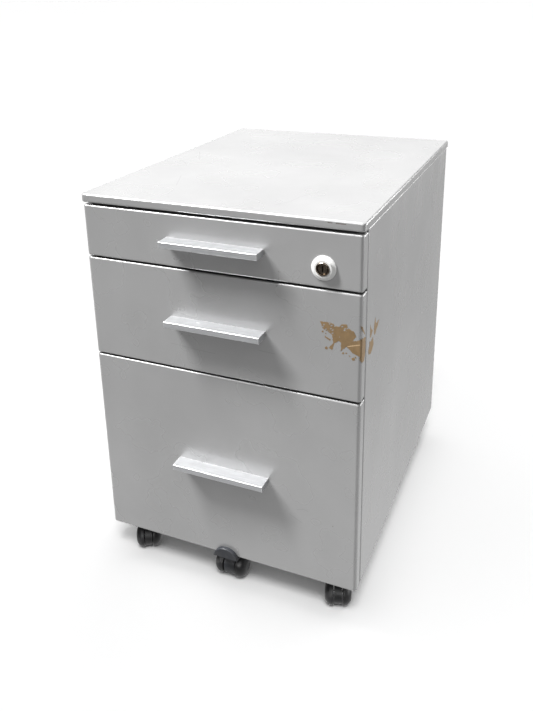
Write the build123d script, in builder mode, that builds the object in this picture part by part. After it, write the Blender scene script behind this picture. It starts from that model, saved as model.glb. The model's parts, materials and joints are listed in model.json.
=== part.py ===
from build123d import *
import os

# Outside sizes of the pedestal, in millimetres
width = 400.0
depth = 520.0

# Sheet metal and fits
sheet = 1.2
inner_bend = 1.3
fit_clearance = 0.2
run_clearance = 0.3
pin_clearance = 0.05

# Top cover
cover_thickness = 12.0
cover_side_overhang = 2.0
cover_front_overhang = 1.0
cover_back_overhang = 3.0
cover_corner_radius = 6.0
cover_edge_radius = 3.0
cover_lip = 20.0

# Drawer fronts
front_thickness = 17.0
front_gap = 2.5
front_reveal = 3.0
cover_reveal = 3.5
file_front_height = 297.5
middle_front_height = 148.5
top_front_height = 73.5
front_side_bend = 5.0
front_inner_bend = 1.3
front_side_lip = 12.0
front_level_lip = 16.0

# Carcass pieces
side_flange = 16.0
upright_width = 30.0
upright_front_setback = 10.0
upright_back_setback = 40.0
base_lip = 5.0
back_flange = 12.0
top_rail_height = 12.0
top_rail_width = 26.0

# Drawer boxes
box_sheet = 1.0
box_inner_bend = 1.0
box_back_gap = 42.0
box_lift = 6.0
file_box_lift = 2.0
top_box_headroom = 4.0
middle_box_headroom = 27.5
file_box_height = 238.0

# Handles
handle_length = 140.0
handle_depth = 22.0
handle_height = 8.5
handle_lip = 2.6
handle_plate = 3.0
handle_root = 6.0
handle_end_wall = 3.0
handle_inner_radius = 1.8
handle_edge_radius = 0.8
handle_screw_inset = 6.0
handle_screw_radius = 2.0
handle_screw_head_radius = 4.0
handle_screw_head = 2.4
handle_screw_reach = 4.8

# Runners
runner_thickness = 12.7
rail_sheet = 1.2
rail_front_gap = 4.0
rail_back_gap = 46.0
outer_rail_gap = 2.2
middle_rail_gap = 1.7
cage_sheet = 0.8
cage_gap = 3.1
ball_radius = 2.0
ball_count = 4
top_runner_height = 27.0
middle_runner_height = 36.0
file_runner_height = 46.0
file_runner_lift = 142.8
short_overlap = 110.0
long_overlap = 10.0

# Lock
lock_inset = 50.0
lock_height = 26.5
ring_radius = 16.0
ring_crown_radius = 11.5
ring_height = 5.0
ring_rim = 1.5
housing_radius = 9.0
housing_flange_radius = 12.0
housing_flange = 2.0
housing_back = 12.0
housing_proud = 0.6
plug_radius = 7.4
plug_recess = 0.8
keyhole_width = 1.8
keyhole_height = 8.5
keyhole_depth = 8.0
tail_width = 5.0
cam_thickness = 2.0
cam_length = 33.0
cam_half_width = 4.0
cam_boss_radius = 7.0
cam_backlash = 0.4

# Lock bar
bar_width = 10.0
bar_thickness = 2.0
bar_lift = 40.0
bar_head = 30.0
bar_drop = 7.854
lug_length = 10.0
lug_height = 6.0
tongue_width = 8.0
tongue_end_gap = 1.0
tongue_height = 5.0
tongue_reach = 9.0
guide_wall = 1.2
guide_height = 8.0
guide_foot_gap = 40.0
guide_head_gap = 41.0
ear_reach = 10.0
ear_height = 7.0
ear_play = 1.6

# Casters
wheel_radius = 18.0
wheel_width = 12.5
wheel_shoulder_radius = 11.5
wheel_inner_radius = 1.0
wheel_dish_rim = 1.5
wheel_dish = 0.6
wheel_cap = 0.8
wheel_headroom = 14.0
fork_thickness = 11.0
fork_inset = 2.0
wheel_gap = 1.3
axle_radius = 2.0
caster_trail = 16.0
caster_side_gap = 3.5
caster_front_gap = 1.0
caster_back_gap = 21.0
caster_swivel_angles = {
    "front_left": 29.0,
    "front_right": 18.0,
    "rear_left": 38.0,
    "rear_right": 16.0,
}
caster_plate = 38.0
caster_plate_thickness = 2.0
caster_plate_corner = 4.0
king_pin_radius = 4.0
king_pin_length = 18.0
boss_radius = 9.0
boss_height = 9.0
neck_half_width = 8.5
caster_screw_inset = 6.0
caster_screw_radius = 2.0
caster_screw_head_radius = 3.5
caster_screw_head = 2.0
caster_screw_reach = 5.0

# Fifth caster on the file drawer
shield_radius = 20.5
shield_height = 15.8
shield_thickness = 6.0
shield_edge_radius = 1.2
bracket_plate = 2.5
bracket_reach = 36.0
fifth_setback = 20.0
fifth_lift = 2.0
fifth_fork_thickness = 17.0
fifth_wheel_width = 15.5
fifth_neck = 24.0

# Hanging-file rails
hanger_sheet = 1.0
hanger_width = 10.0
hanger_inner_drop = 12.0
hanger_outer_drop = 7.0

# Places worked out from the sizes above
total_depth = handle_depth + depth + cover_back_overhang
front_y = handle_depth - total_depth / 2
front_back_y = front_y + front_thickness
carcass_front = front_back_y + front_reveal
carcass_back = front_y + depth
carcass_depth = carcass_back - carcass_front
carcass_mid_y = (carcass_front + carcass_back) / 2
floor_clearance = 2 * wheel_radius + wheel_headroom
file_bottom = floor_clearance
middle_bottom = file_bottom + file_front_height + front_gap
top_bottom = middle_bottom + middle_front_height + front_gap
side_top = top_bottom + top_front_height + cover_reveal
side_height = side_top - floor_clearance
outer_bend = sheet + inner_bend
front_edge_bend = sheet + front_inner_bend
box_bend = box_sheet + box_inner_bend
inside_half_width = width / 2 - outer_bend - fit_clearance
base_top = floor_clearance + 2 * sheet
inside_back = carcass_back - sheet
cover_width = width + 2 * cover_side_overhang
cover_depth = depth + cover_front_overhang + cover_back_overhang
cover_mid_y = front_y - cover_front_overhang + cover_depth / 2

runner_x = width / 2 - side_flange
box_half_width = runner_x - runner_thickness
box_back = carcass_back - box_back_gap
box_depth = box_back - front_back_y
race = 2 * (ball_radius + run_clearance)
rail_start = carcass_front + rail_front_gap
rail_length = carcass_back - rail_back_gap - rail_start
outer_rail_reach = runner_thickness - outer_rail_gap
middle_rail_reach = runner_thickness - middle_rail_gap
cage_reach = runner_thickness - cage_gap
short_travel = rail_length - short_overlap
long_travel = rail_length - long_overlap
top_box_height = side_top - top_rail_height - top_box_headroom - top_bottom - box_lift
middle_box_height = middle_front_height - middle_box_headroom - box_lift
handle_screw_spacing = handle_length - 2 * handle_screw_inset
top_box_bottom = top_bottom + box_lift
middle_box_bottom = middle_bottom + box_lift
file_box_bottom = base_top + base_lip + file_box_lift
top_runner_z = top_box_bottom + top_box_height - top_runner_height / 2
middle_runner_z = middle_box_bottom + middle_box_height / 2
file_runner_z = file_box_bottom + file_runner_lift
upright_front_y = carcass_front + upright_front_setback
upright_back_y = carcass_back - upright_back_setback - upright_width

lock_x = width / 2 - lock_inset
lock_z = top_bottom + lock_height
lock_housing_hole = housing_radius + pin_clearance
cam_y = front_y + housing_back + run_clearance
bar_y = carcass_front + sheet + run_clearance
bar_outer_x = width / 2 - outer_bend - pin_clearance - guide_wall
bar_inner_x = bar_outer_x - bar_width
bar_bottom = floor_clearance + bar_lift
guide_places = (bar_bottom + guide_foot_gap, top_bottom - guide_head_gap)
lug_inner_x = bar_inner_x - lug_length
tongue_inner_x = lock_x + cam_length - tongue_end_gap - tongue_width
tongue_top = lock_z - cam_half_width - cam_backlash + bar_drop
ear_y = bar_y + bar_thickness + ear_play
middle_ear_top = middle_runner_z - middle_runner_height / 2 - bar_drop
file_ear_top = file_runner_z + file_runner_height / 2 + bar_drop + lug_height

plate_bottom = floor_clearance + sheet - caster_plate_thickness
fork_top = plate_bottom - run_clearance
wheel_start = fork_thickness / 2 + wheel_gap
fork_radius = wheel_radius - fork_inset
wheel_dish_radius = wheel_radius - wheel_shoulder_radius - wheel_dish_rim
caster_screw_spacing = caster_plate - 2 * caster_screw_inset
caster_x = runner_x - caster_side_gap - caster_plate / 2
caster_front_y = carcass_front + caster_front_gap + caster_plate / 2
caster_back_y = carcass_back - caster_back_gap - caster_plate / 2
caster_places = {
    "front_left": (-caster_x, caster_front_y),
    "front_right": (caster_x, caster_front_y),
    "rear_left": (-caster_x, caster_back_y),
    "rear_right": (caster_x, caster_back_y),
}
shield_z = floor_clearance - bracket_plate
shield_mid_z = shield_z + shield_height - shield_radius
shield_half_width = (shield_radius**2 - (shield_z - shield_mid_z) ** 2) ** 0.5
fifth_y = front_y + fifth_setback
fifth_z = fifth_lift + wheel_radius
fifth_wheel_start = fifth_fork_thickness / 2 + wheel_gap

drawers = {
    "top": (top_bottom, top_front_height, top_box_bottom, top_box_height),
    "middle": (middle_bottom, middle_front_height, middle_box_bottom, middle_box_height),
    "file": (file_bottom, file_front_height, file_box_bottom, file_box_height),
}


def save(piece, name):
    piece.label = name
    export_step(piece, f"parts/{name}.step")


def both_sides(piece):
    """The right-hand piece and its mirror image on the left."""
    with BuildPart() as pair:
        add(piece)
        mirror(about=Plane.YZ)
    return pair.part


# Carcass: folded panels
def side_panel():
    """A skin with flanges turned inwards along all four edges."""
    with BuildPart() as panel:
        with BuildSketch(Plane.YZ.offset(width / 2 - side_flange)):
            with Locations((carcass_mid_y, floor_clearance + side_height / 2)):
                Rectangle(carcass_depth, side_height)
        extrude(amount=side_flange)
        fillet(panel.faces().sort_by(Axis.X)[-1].edges(), outer_bend)
        offset(amount=-sheet, openings=panel.faces().sort_by(Axis.X)[0])
    return panel.part


def back_panel():
    """A sheet inside the rear flanges, its top and bottom edges folded forwards."""
    low = base_top
    high = side_top - sheet - inner_bend
    with BuildPart() as panel:
        with BuildSketch(Plane.YZ.offset(-inside_half_width)):
            with Locations((inside_back - back_flange / 2, (low + high) / 2)):
                Rectangle(back_flange, high - low)
        extrude(amount=2 * inside_half_width)
        fillet(panel.faces().sort_by(Axis.Y)[-1].edges().filter_by(Axis.X), outer_bend)
        ends = panel.faces().filter_by(Axis.X)
        offset(amount=-sheet, openings=[panel.faces().sort_by(Axis.Y)[0], *ends])
    return panel.part


def base_plate():
    """A floor sheet on the side flanges with a lip folded up along the front."""
    start = carcass_front + outer_bend + fit_clearance
    low = floor_clearance + sheet
    with BuildPart() as plate:
        with BuildSketch(Plane.XY.offset(low)):
            with Locations((0, (start + inside_back) / 2)):
                Rectangle(2 * inside_half_width, inside_back - inner_bend - start)
        extrude(amount=sheet)
        lip = plate.faces().sort_by(Axis.Y)[0]
        with BuildSketch(Plane.XY.offset(low + sheet)):
            with Locations((0, lip.center().Y + sheet / 2)):
                Rectangle(2 * inside_half_width, sheet)
        extrude(amount=base_lip)
        with BuildSketch(Plane.XY.offset(low)):
            for place in caster_places.values():
                with Locations(place):
                    with GridLocations(caster_screw_spacing, caster_screw_spacing, 2, 2):
                        Circle(caster_screw_radius + pin_clearance)
        extrude(amount=sheet, mode=Mode.SUBTRACT)
    return plate.part


def cover_slab(inset):
    """The rounded outline of the top cover, drawn in from its faces by the inset."""
    slab_width = cover_width - 2 * inset
    slab_depth = cover_depth - 2 * inset
    with BuildPart() as slab:
        with BuildSketch(Plane.XY.offset(side_top + inset)):
            with Locations((0, cover_mid_y)):
                RectangleRounded(slab_width, slab_depth, cover_corner_radius - inset)
        extrude(amount=cover_thickness - 2 * inset)
        fillet(slab.faces().sort_by(Axis.Z)[-1].edges(), cover_edge_radius - inset)
        fillet(slab.faces().sort_by(Axis.Z)[0].edges(), front_edge_bend - inset)
    return slab.part


def top_cover():
    """A folded steel tray, upside down, with lips returned inwards underneath."""
    outside = cover_slab(0)
    inside = cover_slab(sheet)
    with BuildPart() as cover:
        add(outside)
        add(inside, mode=Mode.SUBTRACT)
        with BuildSketch(Plane.XY.offset(side_top)):
            with Locations((0, cover_mid_y)):
                Rectangle(cover_width - 2 * cover_lip, cover_depth - 2 * cover_lip)
        extrude(amount=2 * sheet, mode=Mode.SUBTRACT)
    return cover.part


def top_front_rail():
    """A channel across the top of the opening, tying the two sides together."""
    start = carcass_front + outer_bend + fit_clearance
    with BuildPart() as rail:
        with BuildSketch(Plane.YZ.offset(-runner_x + fit_clearance)):
            with Locations((start + top_rail_width / 2, side_top - top_rail_height / 2)):
                Rectangle(top_rail_width, top_rail_height)
            with Locations((start + top_rail_width / 2, side_top - sheet - top_rail_height / 2)):
                Rectangle(top_rail_width - 2 * sheet, top_rail_height, mode=Mode.SUBTRACT)
        extrude(amount=2 * (runner_x - fit_clearance))
    return rail.part


def upright(start_y):
    """A channel on the side skin that the runners are fixed to."""
    low = base_top + inner_bend
    high = side_top - sheet - inner_bend
    reach = width / 2 - sheet - runner_x
    with BuildPart() as post:
        with BuildSketch(Plane.XY.offset(low)):
            with Locations((runner_x + reach / 2, start_y + upright_width / 2)):
                Rectangle(reach, upright_width)
            with Locations((runner_x + sheet + reach / 2, start_y + upright_width / 2)):
                Rectangle(reach, upright_width - 2 * sheet, mode=Mode.SUBTRACT)
        extrude(amount=high - low)
    return post.part


def right_uprights():
    with BuildPart() as posts:
        add(upright(upright_front_y))
        add(upright(upright_back_y))
    return posts.part


# Drawers: folded fronts, boxes, handles and their screws
def handle_top(bottom, front_height):
    return bottom + front_height / 2 + handle_height / 2


def handle_screw_z(bottom, front_height):
    return handle_top(bottom, front_height) - handle_height / 2


def front_slab(bottom, front_height, inset):
    """The rounded block of a drawer front, drawn in from its faces by the inset."""
    with BuildPart() as slab:
        with BuildSketch(Plane.XZ.offset(-(front_y + inset))):
            with Locations((0, bottom + front_height / 2)):
                Rectangle(width - 2 * inset, front_height - 2 * inset)
        extrude(amount=-(front_thickness - 2 * inset))
        fillet(slab.faces().sort_by(Axis.Y)[0].edges().filter_by(Axis.Z), front_side_bend - inset)
        back = front_back_y - inset - fit_clearance
        for end in (0, -1):
            rim = slab.faces().sort_by(Axis.Z)[end].edges()
            fillet(rim.filter_by(lambda edge: edge.center().Y < back), front_edge_bend - inset)
    return slab.part


def drawer_front(bottom, front_height):
    """A folded pan with rounded edges and lips returned behind the face."""
    mid_z = bottom + front_height / 2
    outside = front_slab(bottom, front_height, 0)
    inside = front_slab(bottom, front_height, sheet)
    with BuildPart() as front:
        add(outside)
        add(inside, mode=Mode.SUBTRACT)
        with BuildSketch(Plane.XZ.offset(-front_back_y)):
            with Locations((0, mid_z)):
                Rectangle(width - 2 * front_side_lip, front_height - 2 * front_level_lip)
        extrude(amount=2 * sheet, mode=Mode.SUBTRACT)
        with BuildSketch(Plane.XZ.offset(-front_y)):
            with Locations((0, handle_screw_z(bottom, front_height))):
                with GridLocations(handle_screw_spacing, 0, 2, 1):
                    Circle(handle_screw_radius + pin_clearance)
        extrude(amount=-2 * sheet, mode=Mode.SUBTRACT)
    return front.part


def top_drawer_front():
    """The top front has a round hole for the lock."""
    with BuildPart() as front:
        add(drawer_front(top_bottom, top_front_height))
        with BuildSketch(Plane.XZ.offset(-front_y)):
            with Locations((lock_x, lock_z)):
                Circle(lock_housing_hole)
        extrude(amount=-2 * sheet, mode=Mode.SUBTRACT)
    return front.part


def drawer_box(bottom, box_height, ear_top=None):
    """A welded sheet box, with a lock ear on its right side where it has one."""
    with BuildPart() as box:
        with BuildSketch(Plane.XY.offset(bottom)):
            with Locations((0, (front_back_y + box_back) / 2)):
                Rectangle(2 * box_half_width, box_depth)
        extrude(amount=box_height)
        fillet(box.faces().sort_by(Axis.Z)[0].edges(), box_bend)
        offset(amount=-box_sheet, openings=box.faces().sort_by(Axis.Z)[-1])
        if ear_top is not None:
            with BuildSketch(Plane.XZ.offset(-ear_y)):
                with Locations((box_half_width + ear_reach / 2, ear_top - ear_height / 2)):
                    Rectangle(ear_reach, ear_height)
            extrude(amount=-sheet)
    return box.part


def handle(bottom, front_height):
    """A square-edged bar with a groove for the fingers under it, closed at both ends."""
    top = handle_top(bottom, front_height)
    low = top - handle_height
    tip = front_y - handle_depth
    groove_width = handle_depth - handle_lip - handle_root
    groove_height = handle_height - handle_plate
    groove_length = handle_length - 2 * handle_end_wall
    with BuildPart() as ledge:
        with BuildSketch(Plane.YZ.offset(-handle_length / 2)) as profile:
            with Locations((tip + handle_depth / 2, low + handle_height / 2)):
                Rectangle(handle_depth, handle_height)
            fillet(profile.vertices().sort_by(Axis.X)[:2], handle_edge_radius)
        extrude(amount=handle_length)
        with BuildSketch(Plane.YZ.offset(-groove_length / 2)) as groove:
            with Locations((tip + handle_lip + groove_width / 2, low + groove_height / 2)):
                Rectangle(groove_width, groove_height)
            fillet(groove.vertices().sort_by(Axis.Y)[-2:], handle_inner_radius)
        extrude(amount=groove_length, mode=Mode.SUBTRACT)
        with BuildSketch(Plane.XZ.offset(-front_y)):
            with Locations((0, handle_screw_z(bottom, front_height))):
                with GridLocations(handle_screw_spacing, 0, 2, 1):
                    Circle(handle_screw_radius + pin_clearance)
        extrude(amount=handle_screw_reach, mode=Mode.SUBTRACT)
    return ledge.part


def handle_screws(bottom, front_height):
    """Two screws from inside the front into the handle."""
    head_y = front_y + sheet
    with BuildPart() as screws:
        with BuildSketch(Plane.XZ.offset(-head_y)):
            with Locations((0, handle_screw_z(bottom, front_height))):
                with GridLocations(handle_screw_spacing, 0, 2, 1):
                    Circle(handle_screw_head_radius)
        extrude(amount=-handle_screw_head)
        with BuildSketch(Plane.XZ.offset(-head_y)):
            with Locations((0, handle_screw_z(bottom, front_height))):
                with GridLocations(handle_screw_spacing, 0, 2, 1):
                    Circle(handle_screw_radius)
        extrude(amount=sheet + handle_screw_reach - fit_clearance)
    return screws.part


# Runners: rails nested from the upright inwards, with balls between them
def channel(mid_z, rail_height, web, tip, thickness, start, length):
    """A C-shaped rail on the right, its web and flange tips given from the upright."""
    web_x = runner_x - web
    tip_x = runner_x - tip
    step = thickness if tip < web else -thickness
    with BuildPart() as rail:
        with BuildSketch(Plane.XZ.offset(-start)):
            with Locations(((web_x + tip_x) / 2, mid_z)):
                Rectangle(abs(web_x - tip_x), rail_height)
            with Locations(((web_x + tip_x) / 2 + step, mid_z)):
                Rectangle(abs(web_x - tip_x), rail_height - 2 * thickness, mode=Mode.SUBTRACT)
        extrude(amount=-length)
    return rail.part


def ball_cage(mid_z, race_mid, web, travel):
    """A strip bent round its rail that carries two rows of balls."""
    start = rail_start + travel / 2 + run_clearance
    length = rail_length - travel - 2 * run_clearance
    pitch = length / ball_count
    ball_x = runner_x - (web + cage_reach) / 2
    cage_height = 2 * race_mid + cage_sheet
    strip = channel(mid_z, cage_height, web, cage_reach, cage_sheet, start, length)
    with BuildPart() as cage:
        add(strip)
        for number in range(ball_count):
            for sign in (-1, 1):
                with Locations((ball_x, start + (number + 0.5) * pitch, mid_z + sign * race_mid)):
                    Sphere(ball_radius)
    return cage.part


def outer_rail(mid_z, rail_height):
    return channel(mid_z, rail_height, 0, outer_rail_reach, rail_sheet, rail_start, rail_length)


def inner_rail(mid_z, rail_height, tip):
    return channel(mid_z, rail_height, runner_thickness, tip, rail_sheet, rail_start, rail_length)


cage_web = rail_sheet + run_clearance
second_start = cage_web + cage_sheet + run_clearance
second_cage_web = second_start + rail_sheet + run_clearance
third_start = second_cage_web + cage_sheet + run_clearance
step_in = 2 * (rail_sheet + race)


# Lock: ring, housing, plug, cam and bar
def lock_escutcheon():
    """A domed white ring round the lock."""
    hole = lock_housing_hole
    with BuildPart() as ring:
        with BuildSketch(Plane.YZ.offset(lock_x)):
            with BuildLine():
                rim = (front_y - ring_rim, lock_z + ring_radius)
                crown = (front_y - ring_height, lock_z + ring_crown_radius)
                Line((front_y, lock_z + hole), (front_y, lock_z + ring_radius))
                Line((front_y, lock_z + ring_radius), rim)
                RadiusArc(rim, crown, ring_height + ring_rim)
                Line(crown, (front_y - ring_height, lock_z + hole))
                Line((front_y - ring_height, lock_z + hole), (front_y, lock_z + hole))
            make_face()
        revolve(axis=Axis((lock_x, 0, lock_z), (0, 1, 0)))
    return ring.part


def lock_housing():
    """The lock's barrel, through the front, with a flange behind the sheet."""
    nose = front_y - ring_height - housing_proud
    with BuildPart() as barrel:
        with BuildSketch(Plane.XZ.offset(-nose)):
            with Locations((lock_x, lock_z)):
                Circle(housing_radius)
        extrude(amount=-(front_y + housing_back - nose))
        with BuildSketch(Plane.XZ.offset(-(front_y + sheet))):
            with Locations((lock_x, lock_z)):
                Circle(housing_flange_radius)
        extrude(amount=-housing_flange)
        with BuildSketch(Plane.XZ.offset(-nose)):
            with Locations((lock_x, lock_z)):
                Circle(plug_radius + pin_clearance)
        extrude(amount=-(front_y + housing_back - nose), mode=Mode.SUBTRACT)
    return barrel.part


def lock_plug():
    """The turning plug, with a keyhole in front and a square tail for the cam."""
    nose = front_y - ring_height - housing_proud + plug_recess
    with BuildPart() as plug:
        with BuildSketch(Plane.XZ.offset(-nose)):
            with Locations((lock_x, lock_z)):
                Circle(plug_radius)
        extrude(amount=-(cam_y - nose))
        with BuildSketch(Plane.XZ.offset(-cam_y)):
            with Locations((lock_x, lock_z)):
                Rectangle(tail_width, tail_width)
        extrude(amount=-cam_thickness)
        with BuildSketch(Plane.XZ.offset(-nose)):
            with Locations((lock_x, lock_z)):
                Rectangle(keyhole_width, keyhole_height)
        extrude(amount=-keyhole_depth, mode=Mode.SUBTRACT)
    return plug.part


def lock_cam():
    """A flat arm on the plug's tail, upright while the pedestal is unlocked."""
    with BuildPart() as cam:
        with BuildSketch(Plane.XZ.offset(-cam_y)):
            with Locations((lock_x, lock_z)):
                Circle(cam_boss_radius)
            with Locations((lock_x, lock_z + (cam_length - cam_half_width) / 2)):
                Rectangle(2 * cam_half_width, cam_length - cam_half_width)
            with Locations((lock_x, lock_z + cam_length - cam_half_width)):
                Circle(cam_half_width)
            with Locations((lock_x, lock_z)):
                Rectangle(tail_width, tail_width, mode=Mode.SUBTRACT)
        extrude(amount=-cam_thickness)
    return cam.part


def lock_bar():
    """A flat bar down the right side, with a tongue for the cam and two lugs."""
    bar_top = top_runner_z + bar_head - top_runner_height / 2
    mid_x = (bar_inner_x + bar_outer_x) / 2
    tongue_web = bar_inner_x - tongue_inner_x
    with BuildPart() as bar:
        with BuildSketch(Plane.XZ.offset(-bar_y)):
            with Locations((mid_x, (bar_bottom + bar_top) / 2)):
                Rectangle(bar_width, bar_top - bar_bottom)
            for ear_top in (middle_ear_top, file_ear_top):
                lug_z = ear_top - ear_height + bar_drop + lug_height / 2
                with Locations(((lug_inner_x + bar_inner_x) / 2, lug_z)):
                    Rectangle(lug_length, lug_height)
            with Locations((tongue_inner_x + tongue_web / 2, tongue_top - tongue_height / 2)):
                Rectangle(tongue_web, tongue_height)
        extrude(amount=-bar_thickness)
        with BuildSketch(Plane.XZ.offset(-bar_y)):
            with Locations((tongue_inner_x + tongue_width / 2, tongue_top - tongue_height / 2)):
                Rectangle(tongue_width, tongue_height)
        extrude(amount=bar_y - front_y - tongue_reach)
    return bar.part


def lock_bar_guides():
    """Two clips behind the front flange that the bar slides in."""
    back = bar_y + bar_thickness + run_clearance + guide_wall
    flange_back = carcass_front + sheet
    mid_x = (bar_inner_x + bar_outer_x) / 2
    slot_width = bar_width + 2 * pin_clearance
    with BuildPart() as guides:
        for guide_z in guide_places:
            with BuildSketch(Plane.XY.offset(guide_z)):
                with Locations((mid_x, (flange_back + back) / 2)):
                    Rectangle(slot_width + 2 * guide_wall, back - flange_back)
                with Locations((mid_x, (flange_back + back - guide_wall) / 2)):
                    Rectangle(slot_width, back - guide_wall - flange_back, mode=Mode.SUBTRACT)
            extrude(amount=guide_height)
    return guides.part


# Casters: each is drawn at the origin, trailing towards the front, then put in place
def caster_body():
    """A round fork between the wheels with a neck up to the king pin."""
    axle_z = wheel_radius
    with BuildPart() as body:
        with BuildSketch(Plane.YZ.offset(-fork_thickness / 2)):
            with Locations((-caster_trail, axle_z)):
                Circle(fork_radius)
            with BuildLine():
                Polyline(
                    (-caster_trail / 2, axle_z),
                    (0, axle_z),
                    (neck_half_width, axle_z + caster_trail / 2),
                    (neck_half_width, fork_top),
                    (-neck_half_width, fork_top),
                    (-caster_trail / 2, axle_z + fork_radius / 2),
                    close=True,
                )
            make_face()
        extrude(amount=fork_thickness)
        with BuildSketch(Plane.XY.offset(fork_top)):
            Circle(boss_radius)
        extrude(amount=-boss_height)
        with BuildSketch(Plane.XY.offset(fork_top)):
            Circle(king_pin_radius + pin_clearance)
        extrude(amount=-king_pin_length, mode=Mode.SUBTRACT)
        with BuildSketch(Plane.YZ.offset(-fork_thickness / 2)):
            with Locations((-caster_trail, axle_z)):
                Circle(axle_radius + pin_clearance)
        extrude(amount=fork_thickness, mode=Mode.SUBTRACT)
    return body.part


def axle(mid_y, mid_z, wheel_end):
    """A pin through the fork that ends inside the wheels' caps."""
    reach = wheel_end - wheel_cap - run_clearance
    with BuildPart() as pin:
        with BuildSketch(Plane.YZ.offset(-reach)):
            with Locations((mid_y, mid_z)):
                Circle(axle_radius)
        extrude(amount=2 * reach)
    return pin.part


def wheel(mid_y, mid_z, side, start, width):
    """A wheel with a domed outer shoulder and a dished face that hides the axle."""
    bore = axle_radius + pin_clearance
    end = start + width
    outline = [
        (start, bore),
        (start, wheel_radius),
        (end, wheel_radius),
        (end, wheel_dish_radius),
        (end - wheel_dish, wheel_dish_radius - wheel_dish),
        (end, 0),
        (end - wheel_cap, 0),
        (end - wheel_cap, bore),
    ]
    points = [(side * x, mid_z + r) for x, r in outline]
    with BuildPart() as disc:
        with BuildSketch(Plane.XZ.offset(-mid_y)) as profile:
            with BuildLine():
                Polyline(*points, close=True)
            make_face()
            rim = profile.vertices().sort_by(Axis.Y)[-2:].sort_by(lambda corner: abs(corner.X))
            fillet(rim[0], wheel_inner_radius)
            shoulder = profile.vertices().sort_by(lambda corner: side * corner.X + corner.Y)[-1]
            fillet(shoulder, wheel_shoulder_radius)
        revolve(axis=Axis((0, mid_y, mid_z), (1, 0, 0)))
    return disc.part


def at_caster(piece, corner):
    """The piece turned to its resting swivel and moved under its corner."""
    x, y = caster_places[corner]
    with BuildPart() as placed:
        add(piece.moved(Location((x, y, 0), (0, 0, caster_swivel_angles[corner]))))
    return placed.part


def caster_plates():
    """Mounting plates under the base, each with its king pin."""
    with BuildPart() as plates:
        for place in caster_places.values():
            with BuildSketch(Plane.XY.offset(plate_bottom)):
                with Locations(place):
                    RectangleRounded(caster_plate, caster_plate, caster_plate_corner)
                    with GridLocations(caster_screw_spacing, caster_screw_spacing, 2, 2):
                        Circle(caster_screw_radius + pin_clearance, mode=Mode.SUBTRACT)
            extrude(amount=caster_plate_thickness)
            with BuildSketch(Plane.XY.offset(plate_bottom)):
                with Locations(place):
                    Circle(king_pin_radius)
            extrude(amount=-(king_pin_length - run_clearance))
    return plates.part


def caster_screws():
    """Four screws up through each plate into the base."""
    with BuildPart() as screws:
        for place in caster_places.values():
            with BuildSketch(Plane.XY.offset(plate_bottom)):
                with Locations(place):
                    with GridLocations(caster_screw_spacing, caster_screw_spacing, 2, 2):
                        Circle(caster_screw_head_radius)
            extrude(amount=-caster_screw_head)
            with BuildSketch(Plane.XY.offset(plate_bottom)):
                with Locations(place):
                    with GridLocations(caster_screw_spacing, caster_screw_spacing, 2, 2):
                        Circle(caster_screw_radius)
            extrude(amount=caster_screw_reach)
    return screws.part


def fifth_bracket():
    """A half-round shield in front of the file drawer and a fork below it."""
    shield_y = front_y - shield_thickness
    with BuildPart() as bracket:
        with BuildSketch(Plane.XZ.offset(-shield_y)):
            with Locations((0, shield_mid_z)):
                Circle(shield_radius)
            with Locations((0, shield_z - shield_radius)):
                Rectangle(2 * shield_radius, 2 * shield_radius, mode=Mode.SUBTRACT)
        extrude(amount=-shield_thickness)
        face = bracket.faces().sort_by(Axis.Y)[0]
        fillet(face.edges().filter_by(GeomType.CIRCLE), shield_edge_radius)
        with BuildSketch(Plane.XY.offset(shield_z)):
            with Locations((0, front_y + bracket_reach / 2)):
                Rectangle(2 * shield_half_width, bracket_reach)
        extrude(amount=bracket_plate)
        with BuildSketch(Plane.YZ.offset(-fifth_fork_thickness / 2)):
            with Locations((fifth_y, fifth_z)):
                Circle(fork_radius)
            with Locations((fifth_y, (fifth_z + shield_z) / 2)):
                Rectangle(fifth_neck, shield_z - fifth_z)
        extrude(amount=fifth_fork_thickness)
        with BuildSketch(Plane.YZ.offset(-fifth_fork_thickness / 2)):
            with Locations((fifth_y, fifth_z)):
                Circle(axle_radius + pin_clearance)
        extrude(amount=fifth_fork_thickness, mode=Mode.SUBTRACT)
    return bracket.part


def hanging_rail():
    """A channel over the top edge of the right wall that folders hang from."""
    top = file_box_bottom + file_box_height + hanger_sheet
    outer_x = box_half_width + hanger_sheet
    inner_x = box_half_width - hanger_width
    start = front_back_y + box_sheet + fit_clearance
    length = box_depth - 2 * (box_sheet + fit_clearance)
    outline = [
        (outer_x, top),
        (outer_x, top - hanger_outer_drop),
        (box_half_width, top - hanger_outer_drop),
        (box_half_width, top - hanger_sheet),
        (inner_x + hanger_sheet, top - hanger_sheet),
        (inner_x + hanger_sheet, top - hanger_inner_drop),
        (inner_x, top - hanger_inner_drop),
        (inner_x, top),
    ]
    with BuildPart() as rail:
        with BuildSketch(Plane.XZ.offset(-start)):
            with BuildLine():
                Polyline(*outline, close=True)
            make_face()
        extrude(amount=-length)
    return rail.part


os.makedirs("parts", exist_ok=True)

# Carcass
right_side = side_panel()
save(right_side, "right_side_panel")
save(mirror(right_side, about=Plane.YZ), "left_side_panel")
save(back_panel(), "back_panel")
save(base_plate(), "base_plate")
save(top_cover(), "top_cover")
save(top_front_rail(), "top_front_rail")
posts_right = right_uprights()
save(posts_right, "right_uprights")
save(mirror(posts_right, about=Plane.YZ), "left_uprights")
save(lock_bar_guides(), "lock_bar_guides")
save(caster_plates(), "caster_plates")
save(caster_screws(), "caster_screws")

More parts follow.
